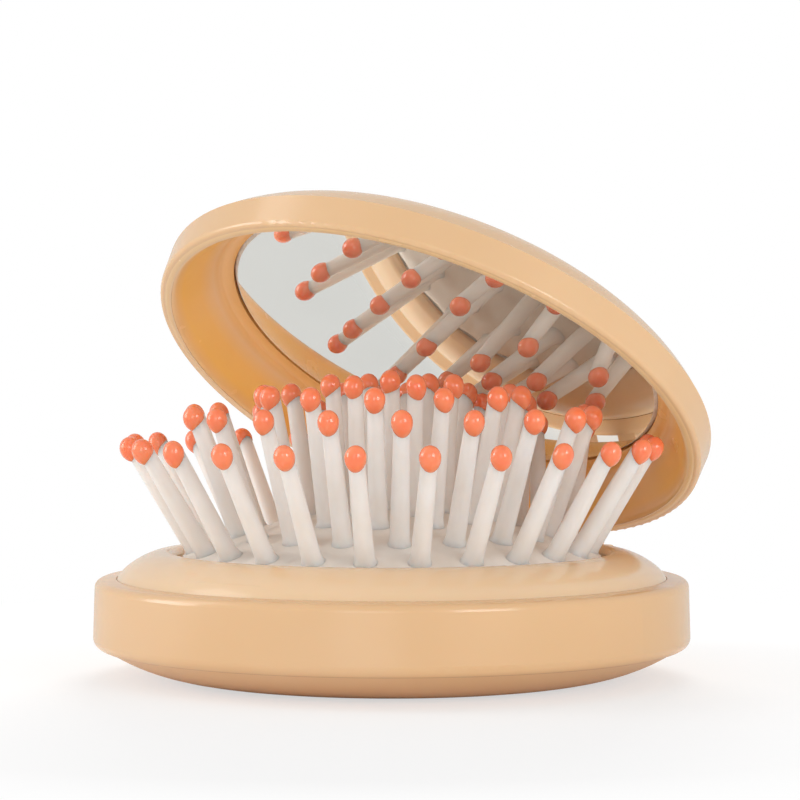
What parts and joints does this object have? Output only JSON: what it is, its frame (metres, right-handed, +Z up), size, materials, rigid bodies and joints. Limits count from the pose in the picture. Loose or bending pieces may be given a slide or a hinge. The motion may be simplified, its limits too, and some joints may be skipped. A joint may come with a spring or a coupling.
{
  "type": "folding hairbrush with mirror",
  "caption": "Round compact hairbrush with ball-tipped bristles on a sprung pad and a hinged lid that holds a mirror",
  "frame": {"origin": "middle of the flat foot, on the base's axis", "axes": "+Z up along the base's axis, +Y towards the hinge, X along the hinge pins"},
  "size_m": [0.0839, 0.093, 0.0676],
  "materials": {
    "shell_plastic": "glossy moulded ABS, pale apricot",
    "frame_plastic": "glossy moulded ABS, apricot",
    "magnet_nickel": "nickel-plated magnet",
    "spring_steel": "drawn spring wire",
    "carrier_plastic": "plain white moulding",
    "pad_rubber": "soft white rubber, satin",
    "bristle_nylon": "translucent white nylon, satin",
    "tip_plastic": "dipped coral resin, glossy",
    "pin_steel": "ground steel",
    "mirror_glass": "silvered glass",
    "adhesive_foam": "white foam tape",
    "keeper_steel": "stamped steel strip"
  },
  "bodies": {
    "base": {"base_shell": "shell_plastic", "bezel_ring": "shell_plastic", "base_magnet": "magnet_nickel", "return_springs": "spring_steel"},
    "carrier": {"carrier_plate": "carrier_plastic", "pad_retainer": "carrier_plastic", "cushion_pad": "pad_rubber", "outer_bristles": "bristle_nylon", "second_bristles": "bristle_nylon", "third_bristles": "bristle_nylon", "inner_bristles": "bristle_nylon", "centre_bristles": "bristle_nylon", "outer_tips": "tip_plastic", "second_tips": "tip_plastic", "third_tips": "tip_plastic", "inner_tips": "tip_plastic", "centre_tips": "tip_plastic"},
    "hinge_link": {"base_hinge_pin": "pin_steel", "lid_hinge_pin": "pin_steel", "left_hinge_link": "shell_plastic", "right_hinge_link": "shell_plastic"},
    "lid": {"lid_shell": "shell_plastic", "lid_frame": "frame_plastic", "mirror": "mirror_glass", "mirror_adhesive": "adhesive_foam", "lid_keeper": "keeper_steel"}
  },
  "joints": [
    {"name": "lid_press", "type": "hinge", "parent": "base", "child": "hinge_link", "pos_m": [0, 0.047, 0.014], "axis": [-1, 0, 0], "range_deg": [-33.8, 0]},
    {"name": "lid_open", "type": "hinge", "parent": "hinge_link", "child": "lid", "pos_m": [0, 0.04923, 0.01732], "axis": [-1, 0, 0], "range_deg": [0, 146.2]},
    {"name": "pad_slide", "type": "slide", "parent": "base", "child": "carrier", "axis": [0, 0, 1], "range_m": [-0.0098, 0], "stiffness_N_per_m": 200, "springref_m": 0.006, "deforming": ["return_springs", "cushion_pad", "outer_bristles", "second_bristles", "third_bristles", "inner_bristles", "centre_bristles", "outer_tips", "second_tips", "third_tips", "inner_tips", "centre_tips"]}
  ],
  "couplings": [
    {"joint": "lid_press", "follows": "pad_slide", "rad_per_m": 60}
  ]
}
